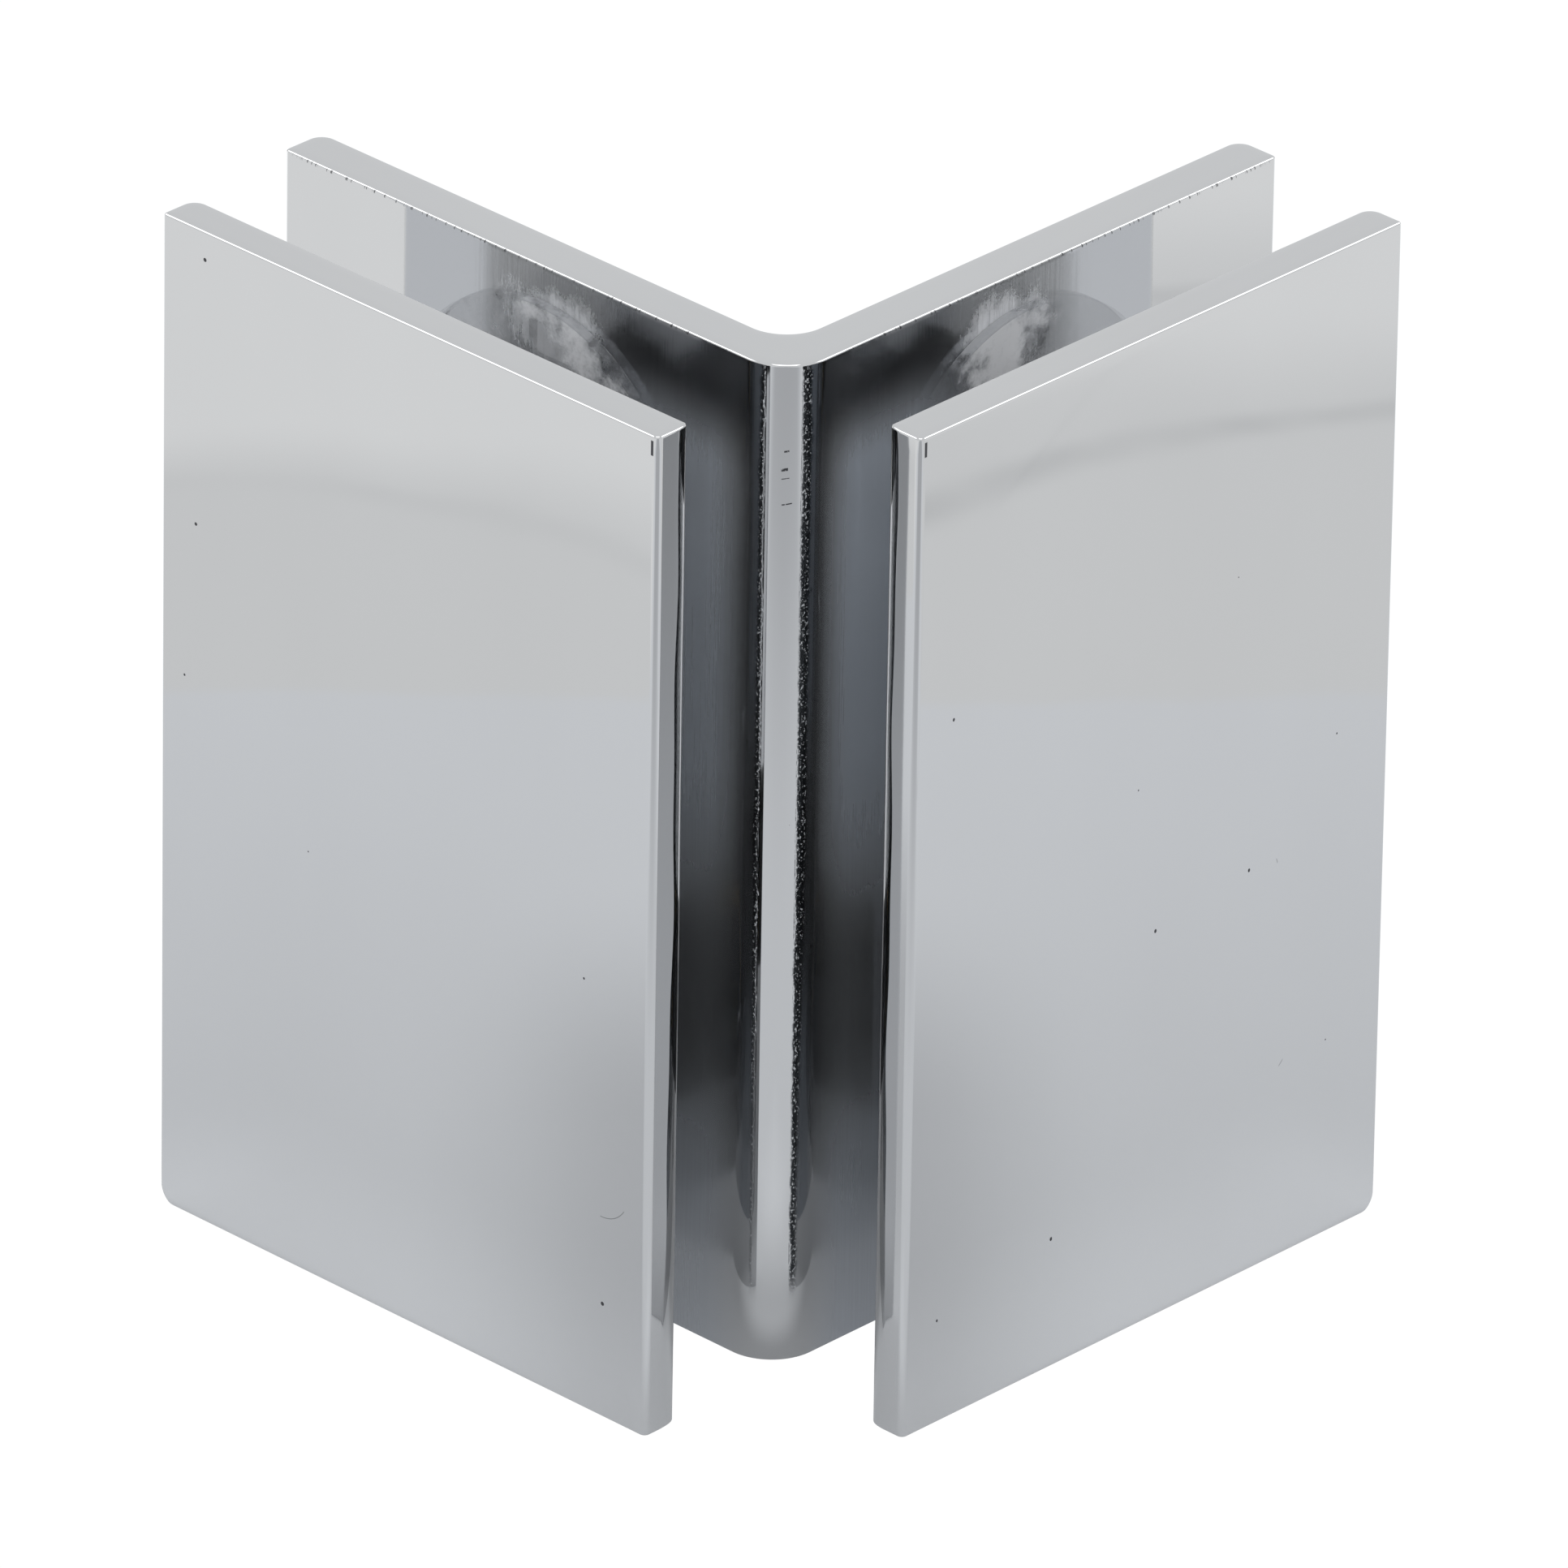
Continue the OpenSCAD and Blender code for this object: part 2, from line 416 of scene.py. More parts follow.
def plate_painted_reflection(m, z):
    """A small dark mark painted where a plate's near edge meets its top: a painted dark reflection of the
    corner's fillet.
    """
    reach, depth = m.from_corner()
    painted_dark_reflection = m.times(m.close(reach, 0.12 * MM, 0.10, 0.16), m.over(depth, -14.8, -14.6, 1.0, 0.0))
    m.mark(m.times(painted_dark_reflection, m.close(z, 88.85 * MM, 0.62, 0.70)))


# dark spots painted on the bend, in mm: height, sideways, half height, half width
BEND_SPOTS = (
    (82.3, 0.1, 0.10, 0.32), (80.7, -0.1, 0.16, 0.42), (79.9, 0.0, 0.05, 0.5), (77.6, 0.2, 0.07, 0.65),
)


def bracket_wear_and_painted_light(m, z):
    """The bracket is less polished on the faces that the plates hide, and it carries painted shade and a
    painted reflection tone there. Returns how far residue and the painted film hide the metal."""
    x, y, _ = m.split()
    reach, depth = m.from_corner()
    spread, across = m.plus(x, y), m.minus(x, y)
    right = m.math("GREATER_THAN", x, y)
    facing = m.times(m.over(depth, 0.6, 2.2, 1.0, 0.0), m.over(z, 89.4, 89.8, 1.0, 0.0))
    fine = m.noise(m.place, 5200.0, 2.0, 0.6)
    grain = m.noise(m.squeezed(0.6), 6500.0, 2.0, 0.7)
    brush = m.noise(m.join(m.times(spread, 3600.0), m.times(z, 45.0), 0.0), 1.0, 3.0, 0.7)

    # upright brushing
    dull = m.times(m.band(reach, (3.2, 6), (20, 36)), facing)
    m.roughen(dull, m.ramp(brush, 0.35, 0.7, 0.06, 0.10))

    # painted shade: a dark patch high up between the bend and the gaskets
    painted_shade_patch = m.times(m.band(reach, (4, 9), (15, 22)), facing, m.over(z, 78.5, 86, 0.0, 0.6))
    m.tint(painted_shade_patch, 0.22, 0.23, 0.25)

    # cloudy residue above the gaskets, and a thin veil over their width
    far = m.distance(m.minus(reach, 25.5 * MM), m.times(m.minus(z, 84.8 * MM), 1.25))
    blotch = m.noise(m.squeezed(0.55), 230.0, 5.0, 0.68)
    cloud = m.plus(m.over(far, 0, 10.5, 0.40, -0.36), m.minus(blotch, 0.5))
    cloud = m.plus(cloud, m.times(m.minus(fine, 0.5), 0.25))
    cloud = m.times(m.ramp(cloud, 0.02, 0.30), facing, m.ramp(brush, 0.25, 0.6, 0.45, 1.0))
    m.roughen(cloud, 0.42)
    m.tint(m.times(cloud, 0.8), 0.86, 0.87, 0.89)
    veil = m.times(m.band(reach, (17, 23), (31, 38)), facing, m.ramp(brush, 0.30, 0.70, 0.3, 1.0))
    m.roughen(veil, 0.17)

    # a gritty line each side of the bend, thinner on the left wing and low down
    wander = m.times(m.minus(m.noise(m.place, 420.0, 4.0, 0.7), 0.5), 0.5 * MM)
    line = m.plus(reach, wander)
    line_start = m.minus(line, m.ramp(right, 0.0, 1.0, 0.4 * MM, 0.0))
    line_end = m.plus(line, m.over(z, 12, 48, 0.25 * MM, 0.0))
    edge = m.times(m.over(line_start, 2.3, 2.5), m.over(line_end, 2.9, 3.3, 1.0, 0.0), facing)
    edge = m.times(edge, m.band(z, (5.5, 8.5), (89.2, 89.6)))
    m.roughen(m.times(edge, m.ramp(grain, 0.56, 0.66)), 0.14)
    m.tint(m.times(edge, m.ramp(grain, 0.55, 0.60, 0.95, 0.0)), 0.035, 0.04, 0.045)
    speck = m.times(edge, m.ramp(grain, 0.60, 0.65))
    m.tint(m.times(speck, 0.8), 0.80, 0.83, 0.86)

    # a blue-grey film between the bend and the gaskets, a painted reflection tone; it is thinner at a third
    # of the height, a painted shade, and at the foot
    painted_reflection_film = m.times(m.band(reach, (2.8, 8.5), (13, 24)), facing, m.over(z, 78.5, 86.5, 1.0, 0.05))
    painted_shade_dip = m.over(m.math("ABSOLUTE", m.minus(z, 31 * MM)), 2, 24, 0.25, 1.0)
    painted_reflection_film = m.times(painted_reflection_film, painted_shade_dip, m.ramp(brush, 0.25, 0.75, 0.92, 1.02), m.over(z, 6, 20, 0.55, 1.0))
    painted_reflection_film = m.times(painted_reflection_film, m.plus(m.times(right, 0.20), 0.86))
    m.tint(painted_reflection_film, 0.525, 0.575, 0.645)
    m.roughen(painted_reflection_film, 0.22)

    height = m.plus(m.times(brush, dull, 0.12), m.times(grain, edge, 0.8), m.times(blotch, cloud, 0.8))
    m.normal = m.bump(height, 0.35, 0.1 * MM, m.normal)

    # a dark burr along the top edge
    burr = m.times(m.band(z, (89.58, 89.7), (89.88, 89.94)), m.over(depth, 0.2, 0.5, 1.0, 0.0))
    burr = m.times(burr, m.over(reach, 4, 6))
    dots = m.noise(m.join(spread, 0.0, 0.0), 2300.0, 3.0, 0.7)
    m.mark(m.times(burr, m.ramp(dots, 0.54, 0.59, 0.0, 0.85)))

    level = m.minus(z, m.times(across, 0.12))
    ragged = m.times(m.ramp(grain, 0.40, 0.46), m.over(depth, 2, 3, 1.0, 0.0))
    for up, aside, tall, wide in BEND_SPOTS:
        row = m.close(level, up * MM, 0.6 * tall, tall)
        column = m.close(across, aside * MM, 0.8 * wide, wide)
        m.mark(m.times(row, column, ragged))
    return m.most(m.times(painted_reflection_film, 0.58), m.times(cloud, 0.42), m.times(speck, 0.6))


def chrome(name, wear_and_painted_light):
    """Bright chrome plate with a slow waviness, a few pits and hairs, and the piece's own wear and painted
    light.
    """
    m = Chrome(name)
    x, y, z = m.split()
    flat = m.join(m.minus(m.times(x, 1.31), y), z, 0.0)  # 1.31 keeps the wings' marks from mirroring
    hairs = strokes(m, flat, 42.0, 0.16, 1.6 * MM, 0.05 * MM, 3.1)
    m.marks = m.most(pits(m, flat, 66.0, 0.42, 0.18 * MM), m.times(hairs, 0.55))
    smear = m.noise(m.squeezed(0.4), 38.0, 3.0, 0.6)
    m.rough = m.ramp(smear, 0.3, 0.75, 0.022, 0.05)
    m.normal = m.bump(m.noise(m.place, 16.0, 1.0, 0.4), 0.5, 0.7 * MM)
    m.base = m.mix(m.ramp(smear, 0.3, 0.8), rgb(0.603, 0.609, 0.616), rgb(0.592, 0.597, 0.604))
    hidden = wear_and_painted_light(m, z)
    m.tint(m.times(m.marks, 0.92), 0.02, 0.02, 0.025)
    m.surface(m.base, m.math("ADD", m.rough, m.times(m.marks, 0.35), clamp=True), m.normal)
    m.put(1.0 if hidden is None else m.minus(1.0, hidden), m.bsdf.inputs["Metallic"])
    return m.mat


def vinyl(name):
    """Clear vinyl pad gone cloudy: nearly clear where it is wet against the metal, milky in patches."""
    m = Nodes(name)
    cloud = m.noise(m.place, 150.0, 5.0, 0.65)
    fine = m.noise(m.place, 1500.0, 3.0, 0.6)
    x, y, z = m.split()
    reach = m.most(m.minus(x, CORNER.x), m.minus(y, CORNER.y))
    bloom = m.over(m.distance(m.minus(reach, 23.5 * MM), m.minus(z, 85 * MM)), 0, 9, 0.24, -0.10)
    milky = m.ramp(m.plus(cloud, bloom, m.times(fine, 0.12)), 0.50, 0.80)
    m.link(m.ramp(milky, 0.0, 1.0, 0.10, 0.72), m.bsdf.inputs["Alpha"])
    # the rim is matt, as cut; the pressed faces shine a little
    lie = m.split(m.add("ShaderNodeNewGeometry").outputs["Normal"])
    rim = m.ramp(m.math("ABSOLUTE", lie[2]), 0.05, 0.35)
    milk = m.mix(milky, rgb(0.42, 0.44, 0.48), rgb(0.88, 0.89, 0.91))
    # painted shade: the faces turned up or down are painted a darker grey, to offset the stronger light
    # they get from above
    base = m.mix(m.times(rim, 0.85), milk, rgb(0.30, 0.31, 0.33))
    rough = m.plus(m.ramp(fine, 0.3, 0.7, 0.22, 0.40), m.times(rim, 0.4))
    m.surface(base, rough, m.bump(fine, 0.2, 0.05 * MM))
    m.bsdf.inputs["Specular IOR Level"].default_value = 0.25
    m.bsdf.inputs["IOR"].default_value = 1.5
    return m.mat


def nylon(name):
    """Moulded black nylon: faintly mottled, with a soft sheen and a fine moulding texture."""
    m = Nodes(name)
    spot = m.noise(m.place, 420.0, 4.0, 0.6)
    base = m.mix(m.ramp(spot, 0.3, 0.7), rgb(0.012, 0.012, 0.014), rgb(0.026, 0.026, 0.029))
    m.surface(base, m.ramp(spot, 0.3, 0.7, 0.34, 0.52), m.bump(m.noise(m.place, 1800.0), 0.35, 0.06 * MM))
    return m.mat


def turned_metal(name, light, dark, rough):
    """Turned metal: fine rings that follow the cutting tool, with a little tarnish."""
    m = Nodes(name)
    at = m.add("ShaderNodeAttribute", attribute_name="turning").outputs["Fac"]
    rings = m.noise(at, 14.0, 3.0, 0.7, dims="1D")
    stain = m.noise(m.place, 260.0, 4.0, 0.6)
    base = m.mix(m.ramp(stain, 0.35, 0.75), rgb(*light), rgb(*dark))
    m.surface(base, m.plus(m.ramp(rings, 0.3, 0.7, 0.0, 0.16), rough), m.bump(rings, 0.5, 0.04 * MM))
    m.bsdf.inputs["Metallic"].default_value = 1.0
    return m.mat


CHROME_PLATE = chrome("chrome_plate", plate_painted_reflection)
CHROME_BRACKET = chrome("chrome_bracket", bracket_wear_and_painted_light)
VINYL = vinyl("cloudy_vinyl")
NYLON = nylon("black_nylon")
BRASS = turned_metal("turned_brass", (0.80, 0.58, 0.25), (0.60, 0.40, 0.16), 0.22)
STEEL = turned_metal("stainless", (0.60, 0.59, 0.57), (0.50, 0.49, 0.48), 0.16)


def finish_piece(ob, material, body, node):
    ob.data.materials.clear()
    ob.data.materials.append(material)
    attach(ob, body)
    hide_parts(node)


# ---- corner bracket ----------------------------------------------------------------


def bracket_outline(d, _):
    """The L section moved in by d, anticlockwise from the outside of the bend."""
    t, w = BRACKET_T, WING
    back, front = max(BACK_END_R - d, LEAST_R), max(FRONT_END_R - d, LEAST_R)
    pts = arc(BEND_R, BEND_R, BEND_R - d, 180, 270, 24)
    pts += arc(w - d - front, d + front, front, 270, 360, 6)
    pts += arc(w - d - back, t - d - back, back, 0, 90, 8)
    pts += arc(t + FILLET_R, t + FILLET_R, FILLET_R + d, 270, 180, 20)
    pts += arc(t - d - back, w - d - back, back, 0, 90, 8)
    pts += arc(d + front, w - d - front, front, 90, 180, 6)
    return pts


def screw_spots(side):
    """Each of a wing's screws: level, axis s and z, ends n0 and n1, and head radius."""
    spots = []
    for level in ("lower", "upper"):
        (s0, n0, z0), (s1, n1, z1) = wing_box(f"{side}_{level}_screw", side)
        spots.append((level, (s0 + s1) / 2, (z0 + z1) / 2, n0, n1, (s1 - s0) / 2))
    return spots


def countersink(side, s, z, head_r):
    """The tool that leaves a screw hole, from the back of the wing to its front."""
    hole, rim, end = SCREW_HOLE_R, head_r + HEAD_CLEARANCE, BRACKET_T + PAST
    outline = [
        (0, -PAST), (rim, -PAST), (rim, HEAD_LAND), (hole, HEAD_LAND + rim - hole),
        (hole, end), (0, end),
    ]
    start = wing_point(side, s, -BRACKET_T, z)
    return turned(f"tool_{side}_{z:.3f}", outline, start, OUT[side], closed=False)


def make_bracket():
    levels = both_ends(edge_rows(BRACKET_RIM_R, SHOULDER, SHOULDER_DROP), HEIGHT)
    ob = extruded("bracket_shell", bracket_outline, levels, lambda a, b, h: CORNER + Vector((a, b, h)))
    cut(ob, [
        countersink(side, s, z, head_r)
        for side in ("right", "left") for _, s, z, _, _, head_r in screw_spots(side)
    ])
    even_normals(ob)
    finish_piece(ob, CHROME_BRACKET, "bracket", "corner_bracket")


# ---- outer plates --------------------------------------------------------------------


def make_plate(side):
    node = f"{side}_outer_plate"
    (s0, n0, z0), (s1, n1, z1) = wing_box(node, side)
    width, thick, tall = s1 - s0, n1 - n0, z1 - z0

    def outline(d, h):
        """From the back at the near end, with n outwards. The near back edge was broken by hand, so
        its width wanders with the height h."""
        near, far, edge = (max(r - d, LEAST_R) for r in (PLATE_NEAR_R, PLATE_FAR_R, PLATE_EDGE_R))
        turn, lean = h / MM, 1.7 if side == "left" else 4.4
        wander = 0.13 * math.sin(turn / 5.1 + lean) + 0.07 * math.sin(turn / 2.3 + lean * 2)
        wander += (0.9 if side == "left" else 0.3) * max(0.0, 1 - turn / 42) ** 1.5  # wider at the foot
        deep = max(PLATE_ROLL[0] - d, LEAST_R)
        wide = max(PLATE_ROLL[1] + wander * MM - d, 2 * LEAST_R)
        roll = [
            (d + deep * (1 - math.sin(t)), d + wide * (1 - math.cos(t)))
            for t in (math.radians(90 - 7.5 * i) for i in range(13))
        ]
        lift = max(PLATE_FOOT_R - h, 0.0)
        end = width - (PLATE_FOOT_R - math.sqrt(PLATE_FOOT_R ** 2 - lift ** 2)) - d
        return (
            roll + arc(end - far, d + far, far, 270, 360, 10)
            + arc(end - edge, thick - d - edge, edge, 0, 90, 6)
            + arc(d + near, thick - d - near, near, 90, 180, 10)
        )

    heights = [PLATE_FOOT_R * f for f in (0.24, 0.33, 0.44, 0.56, 0.7, 0.85)]
    heights += [tall * i / 60 for i in range(2, 60)]
    levels = both_ends(edge_rows(PLATE_RIM_R, SHOULDER, SHOULDER_DROP), tall, heights)
    shell = f"{side}_plate_shell"
    ob = extruded(shell, outline, levels, lambda a, b, h: wing_point(side, s0 + a, n0 + b, z0 + h))
    seats = []
    for level in ("lower", "upper"):
        (a0, _, c0), (a1, b1, c1) = wing_box(f"{side}_{level}_post", side)
        start = wing_point(side, (a0 + a1) / 2, n0, (c0 + c1) / 2)
        seats.append(plug(f"tool_{side}_{level}", SEAT_R, b1 + SEAT_GAP - n0, start, OUT[side], 64))
    cut(ob, seats)
    even_normals(ob)
    finish_piece(ob, CHROME_PLATE, f"{side}_clamp_plate", node)


# ---- gaskets -----------------------------------------------------------------------------


def make_gasket(side, which):
    node = f"{side}_{which}_gasket"
    (s0, n0, z0), (s1, n1, z1) = wing_box(node, side)
    r, mid = (s1 - s0) / 2, (s0 + s1) / 2

    def outline(d, _):
        return arc(0, z1 - r, r - d, 0, 180, 40) + arc(0, z0 + r, r - d, 180, 360, 40)

    levels = both_ends(edge_rows(GASKET_RIM_R, 0, 0, 4), n1 - n0)
    pad = f"{side}_{which}_pad"
    ob = extruded(pad, outline, levels, lambda a, b, h: wing_point(side, mid + a, n0 + h, b))
    cut(ob, [
        plug(f"tool_{node}_{z:.3f}", GASKET_HOLE_R, n1 - n0 + PAST, wing_point(side, s, n0, z), OUT[side])
        for _, s, z, _, _, _ in screw_spots(side)
    ])
    even_normals(ob)
    body = "bracket" if which == "inner" else f"{side}_clamp_plate"
    finish_piece(ob, VINYL, body, node)


# ---- posts, sleeves and screws ----------------------------------------------------------------


def rounded(points, r=0.12 * MM, steps=3):
    """A closed outline with each corner eased by about r."""
    out = []
    n = len(points)
    for i in range(n):
        p, a, b = Vector(points[i]), Vector(points[i - 1]), Vector(points[(i + 1) % n])
        ra = min(r, (a - p).length * 0.45)
        rb = min(r, (b - p).length * 0.45)
        q0, q1 = p + (a - p).normalized() * ra, p + (b - p).normalized() * rb
        for k in range(steps + 1):
            u = k / steps
            q = q0 * (1 - u) ** 2 + p * 2 * u * (1 - u) + q1 * u * u
            out.append((q.x, q.y))
    return out


def make_post(side, level):
    node = f"{side}_{level}_post"
    (s0, n0, z0), (s1, n1, z1) = wing_box(node, side)
    bore, spigot, body, long = POST_BORE_R, SPIGOT_R, (s1 - s0) / 2, n1 - n0
    step = long - SPIGOT_LONG
    # heights run outwards, from the tip that faces the bracket to the spigot in the plate
    outline = [
        (bore, 0.5 * MM), (bore + 0.5 * MM, 0), (body - 0.6 * MM, 0), (body, 0.6 * MM), (body, step),
        (spigot, step), (spigot, long - 0.3 * MM), (spigot - 0.3 * MM, long), (bore, long),
    ]
    centre = wing_point(side, (s0 + s1) / 2, n0, (z0 + z1) / 2)
    ob = turned(f"{side}_{level}_threaded_post", rounded(outline, 0.08 * MM), centre, OUT[side])
    finish_piece(ob, BRASS, f"{side}_clamp_plate", node)


def make_sleeve(side, level):
    node = f"{side}_{level}_sleeve"
    (s0, n0, z0), (s1, n1, z1) = wing_box(node, side)
    bore, outer, long = SLEEVE_BORE_R, (s1 - s0) / 2, n1 - n0
    foot, step = outer - SLEEVE_STEP, long - SLEEVE_FOOT
    outline = [
        (bore, 0.4 * MM), (bore + 0.4 * MM, 0), (outer - 0.4 * MM, 0), (outer, 0.4 * MM),
        (outer, step), (foot, step), (foot, long), (bore, long),
    ]
    centre = wing_point(side, (s0 + s1) / 2, n0, (z0 + z1) / 2)
    ob = turned(f"{side}_{level}_bushing", rounded(outline, 0.15 * MM), centre, OUT[side], 80)
    finish_piece(ob, NYLON, f"{side}_clamp_plate", node)


def make_screw(side, level, s, z, n0, n1, head_r):
    """M6 x 1 countersunk socket screw with a real right-hand helix. Heights run from the head outwards."""
    long, pitch, major = n1 - n0, THREAD_PITCH, THREAD_R
    minor = major - THREAD_DEPTH
    neck = major + 0.12 * MM
    start, stop = 3.9 * MM, long - 0.5 * MM
    # (kind, radius, height): the socket's floor and wall, the head, the thread and the tip. A hex row's
    # radius is a share of the socket's own
    rows = [
        ("pole", 0.0, 3.05 * MM), ("round", 0.3 * MM, 2.95 * MM),
        ("hex", 1.0, 2.5 * MM), ("hex", 1.0, 0.16 * MM), ("hex", 1.09, 0.0),
        ("round", head_r - 0.14 * MM, 0.0), ("round", head_r - 0.04 * MM, 0.04 * MM),
        ("round", head_r, 0.14 * MM), ("round", head_r, HEAD_LAND),
        ("round", head_r - 0.03 * MM, 0.38 * MM),
        ("round", neck, 0.35 * MM + head_r - neck), ("round", major - 0.02 * MM, 3.5 * MM),
    ]
    count = int((stop - start) / pitch * 12)
    rows += [("thread", 0.0, start + (stop - start) * i / count) for i in range(count + 1)]
    rows += [
        ("round", minor - 0.05 * MM, long - 0.35 * MM), ("round", minor - 0.4 * MM, long),
        ("pole", 0.0, long),
    ]

    def radius(k, r, h, a):
        kind, size, _ = rows[k]
        if kind == "hex":
            from_flat = (a + math.pi / 6) % (math.pi / 3) - math.pi / 6
            return HEX_FLAT * size / math.cos(from_flat)
        if kind == "thread":
            turn = (h / pitch - a / (2 * math.pi)) % 1.0
            rise = max(0.0, min(1.0, (0.5 - abs(turn - 0.5)) * 2 * 1.25 - 0.06))
            ease = min(1.0, (h - start) / (0.9 * pitch), (stop - h) / (0.7 * pitch))
            return minor + (major - minor) * rise * max(0.0, ease)
        return size

    outline = [(0 if kind == "pole" else 1, h) for kind, _, h in rows]
    name, centre = f"{side}_{level}_socket_screw", wing_point(side, s, n0, z)
    ob = turned(name, outline, centre, OUT[side], closed=False, radius_at=radius, sharp_deg=50)
    finish_piece(ob, STEEL, f"{side}_{level}_screw", f"{side}_{level}_screw")


make_bracket()
for side in ("left", "right"):
    make_plate(side)
    for which in ("inner", "outer"):
        make_gasket(side, which)
    for level, *spot in screw_spots(side):
        make_post(side, level)
        make_sleeve(side, level)
        make_screw(side, level, *spot)

# ---- studio -------------------------------------------------------------------------------------


def floor_material():
    """Pale floor, plain white in view. To every other ray it glows with a painted pattern that the chrome
    shows as painted reflections of a studio outside the view: a bright band for a sweep to either side of
    the clamp, and a dimmer patch for the floor under the photographer."""
    m = Nodes("pale_floor_painted_reflections")
    m.tree.nodes.remove(m.bsdf)
    x, y, _ = m.split()
    side = m.most(m.times(x, -1.0), m.times(y, -1.0))  # out from a plate
    along = m.most(x, y)  # along the wing
    ahead = m.times(m.plus(x, y), -0.7071)  # from the clamp to the camera
    behind = m.times(ahead, -1.0)
    right = m.math("LESS_THAN", y, x)

    def per_wing(on_left, on_right):
        return m.ramp(right, 0.0, 1.0, on_left, on_right)

    # edge_1 bounds the painted bright band of the sweep, edge_2 the painted dimmer floor next to the clamp
    out = m.plus(side, m.times(m.minus(m.noise(m.place, 45.0, 3.0), 0.5), 5 * MM))
    start = m.most(m.minus(along, per_wing(88 * MM, 98 * MM)), 0.0)
    edge_1 = m.minus(per_wing(145.5 * MM, 148 * MM), m.times(start, start, per_wing(12.5, 6.5)))
    edge_2 = m.plus(m.times(m.minus(along, 85 * MM), -0.9), 112 * MM)
    past_1 = m.minus(out, edge_1)
    gain = m.most(m.over(along, 105, 140), m.minus(1.0, right))
    reached = m.ramp(past_1, -2 * MM, per_wing(15 * MM, 25 * MM))
    painted_sweep_light = m.plus(m.times(gain, reached, 0.125), 0.885)
    in_painted_sweep = m.over(m.minus(out, edge_2), -1.5, 1.5)
    near = m.over(side, 36, 110, 0.84, 0.90)
    level = m.plus(m.times(in_painted_sweep, painted_sweep_light), m.times(m.minus(1.0, in_painted_sweep), near))

    # painted shade of creases in the sweep: one dark line along the edge of the bright band, and a short
    # one across it
    patchy = m.ramp(m.noise(m.place, 60.0), 0.35, 0.65, 0.35, 1.0)
    painted_vein_shade = m.times(m.band(past_1, (-4.0, -0.4), (0, 3)), patchy, per_wing(0.03, 0.15))
    off = m.minus(m.minus(along, 111 * MM), m.times(m.minus(side, 148 * MM), 2.57))
    painted_crease_shade = m.over(m.math("ABSOLUTE", off), 0.2, 1.0, 0.045, 0.0)
    painted_crease_shade = m.times(painted_crease_shade, m.band(side, (143, 147), (155, 164)), right)
    level = m.minus(level, m.plus(painted_vein_shade, painted_crease_shade))

    # painted shade in front of the clamp, along the line to the camera
    front = m.minus(m.over(ahead, 34, 58, 0.56, 0.80), m.over(ahead, 90, 210, 0.0, 0.24))
    in_painted_front_shade = m.over(m.math("ABSOLUTE", m.minus(x, y)), 90, 150, 1.0, 0.0)
    in_painted_front_shade = m.times(in_painted_front_shade, m.over(ahead, 20, 50))
    level = m.plus(m.times(level, m.minus(1.0, in_painted_front_shade)), m.times(front, in_painted_front_shade))

    # painted light: behind the clamp the sweep is at its brightest, and a little brighter beside it;
    # painted shade under the clamp, where the glow is cut to a dim fixed level
    level = m.plus(level, m.over(behind, 50, 120, 0.0, 0.36))
    by_clamp = m.over(along, 34, 50, 1.0, 0.0)
    level = m.plus(level, m.times(m.over(side, 37, 58, 0.085, 0.0), by_clamp))
    painted_shade_under = m.times(m.over(side, 34, 37, 1.0, 0.0), by_clamp, m.over(ahead, 29, 35, 1.0, 0.0))

    # lamps and sky give the floor about 0.43 of its level, and the painted glow adds the rest, seen only in
    # reflections
    diffuse = m.add("ShaderNodeBsdfDiffuse")
    diffuse.inputs["Color"].default_value = rgb(0.36, 0.365, 0.375)
    painted_glow = m.add("ShaderNodeEmission")
    m.link(m.mix(in_painted_sweep, rgb(0.972, 0.995, 1.028), rgb(1.0, 0.996, 0.972)), painted_glow.inputs["Color"])
    painted_light_strength = m.most(m.minus(level, 0.43), 0.0)
    painted_light_strength = m.plus(m.times(painted_light_strength, m.minus(1.0, painted_shade_under)), m.times(painted_shade_under, 0.21))
    m.link(painted_light_strength, painted_glow.inputs["Strength"])
    painted_reflection_side = m.add("ShaderNodeAddShader")
    m.link(diffuse.outputs[0], painted_reflection_side.inputs[0])
    m.link(painted_glow.outputs[0], painted_reflection_side.inputs[1])
    paper = m.add("ShaderNodeEmission")
    grain = m.ramp(m.noise(m.place, 300.0), 0.3, 0.7)
    m.link(m.mix(grain, rgb(0.998, 0.999, 1.0), rgb(1.0, 1.0, 1.0)), paper.inputs["Color"])
    paper.inputs["Strength"].default_value = 1.02
    pick = m.add("ShaderNodeMixShader")
    m.link(m.add("ShaderNodeLightPath").outputs["Is Camera Ray"], pick.inputs[0])
    m.link(painted_reflection_side.outputs[0], pick.inputs[1])
    m.link(paper.outputs[0], pick.inputs[2])
    m.link(pick.outputs[0], m.out.inputs[0])
    return m.mat


bm = bmesh.new()
bmesh.ops.create_grid(bm, x_segments=8, y_segments=8, size=4.0)
floor = to_object("studio_floor", bm)
floor.data.materials.append(floor_material())

world = bpy.data.worlds.new("studio")
bpy.context.scene.world = world
world.use_nodes = True
sky = world.node_tree.nodes["Background"]
sky.inputs["Color"].default_value = rgb(0.99, 1.0, 1.01)
sky.inputs["Strength"].default_value = 0.885


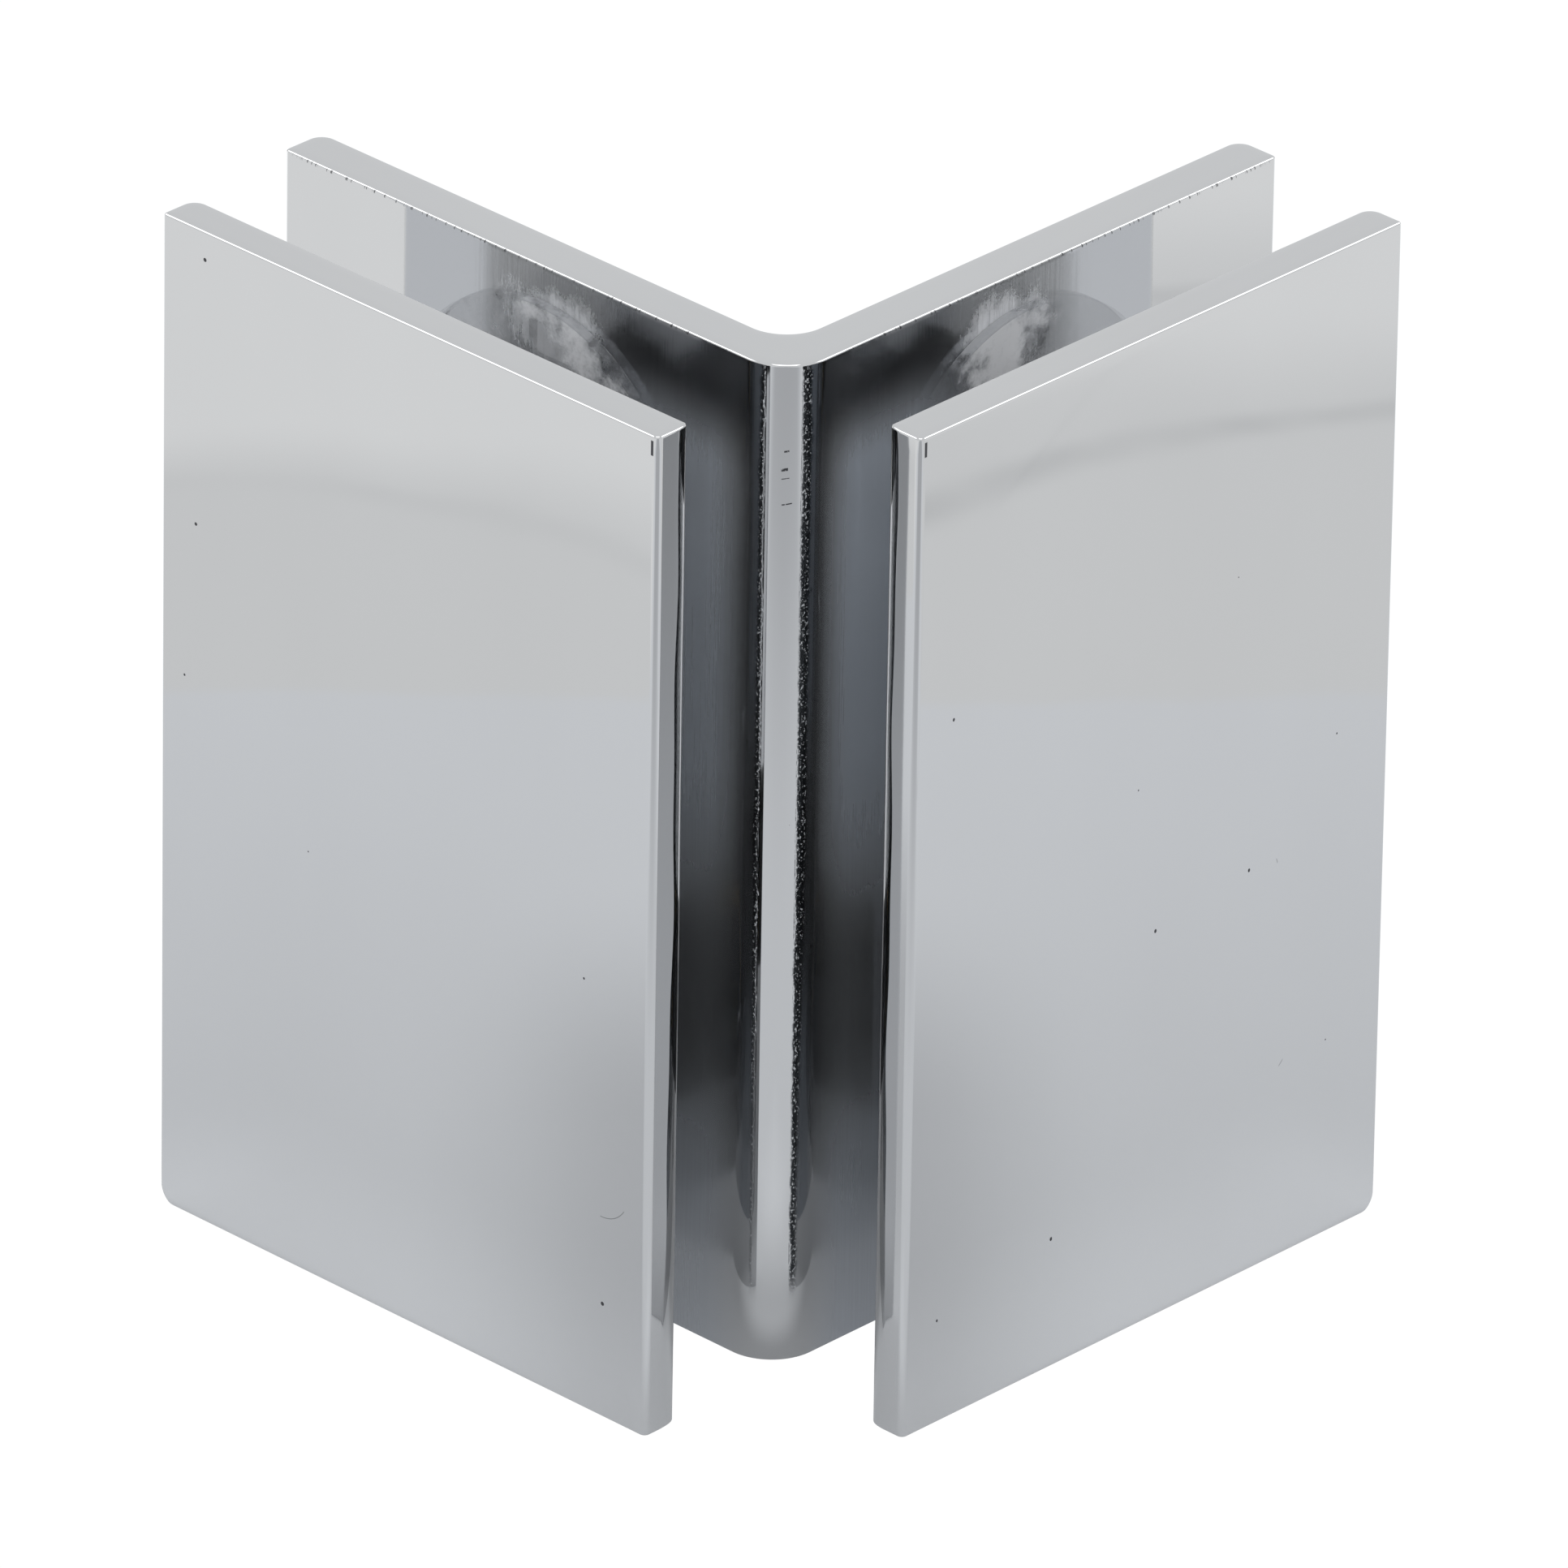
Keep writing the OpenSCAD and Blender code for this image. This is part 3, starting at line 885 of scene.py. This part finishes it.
def direction(azimuth, elevation):
    """From the clamp towards something seen at this azimuth and elevation."""
    a, e = math.radians(azimuth), math.radians(elevation)
    return Vector((math.sin(a) * math.cos(e), -math.cos(a) * math.cos(e), math.sin(e)))


MIDDLE = Vector((0, 0, HEIGHT / 2))
RADIANCE = 2.2


def softbox(name, azimuth, elevation, distance, width, height):
    """A soft area lamp aimed at the clamp, placed by the direction it is seen in."""
    away = direction(azimuth, elevation)
    lamp = bpy.data.lights.new(name, "AREA")
    lamp.shape, lamp.size, lamp.size_y = "RECTANGLE", width, height
    lamp.energy = RADIANCE * math.pi * width * height
    ob = bpy.data.objects.new(name, lamp)
    ob.location = away * distance + MIDDLE
    ob.rotation_mode = "QUATERNION"
    ob.rotation_quaternion = away.to_track_quat("Z", "Y")
    bpy.context.scene.collection.objects.link(ob)


softbox("softbox_right", 54, 41, 1.4, 0.9, 0.5)
softbox("softbox_left", -146, 41, 1.4, 0.9, 0.5)
softbox("softbox_top", -46, 68, 1.5, 0.9, 0.7)

# ---- camera --------------------------------------------------------------------------------------

AZIMUTH, ELEVATION, ROLL = -46.167, 27.697, 0.929
DISTANCE, LENS = 1.968, 559.0
AIM_RIGHT, AIM_UP = 0.738 * MM, -5.981 * MM

back = direction(AZIMUTH, ELEVATION)
turn, roll = math.radians(AZIMUTH), math.radians(ROLL)
level_right = Vector((math.cos(turn), math.sin(turn), 0))
level_up = back.cross(level_right)
right = level_right * math.cos(roll) + level_up * math.sin(roll)
up = level_up * math.cos(roll) - level_right * math.sin(roll)
camera = bpy.data.cameras.new("camera")
camera.lens, camera.sensor_width = LENS, 36.0
camera.clip_start, camera.clip_end = 0.05, 30.0
eye = bpy.data.objects.new("camera", camera)
eye.rotation_mode = "QUATERNION"
eye.location = MIDDLE + right * AIM_RIGHT + up * AIM_UP + back * DISTANCE
eye.rotation_quaternion = Matrix((right, up, back)).transposed().to_quaternion()
bpy.context.scene.collection.objects.link(eye)
bpy.context.scene.camera = eye
bpy.context.scene.view_settings.view_transform = "Standard"

bpy.context.view_layer.update()
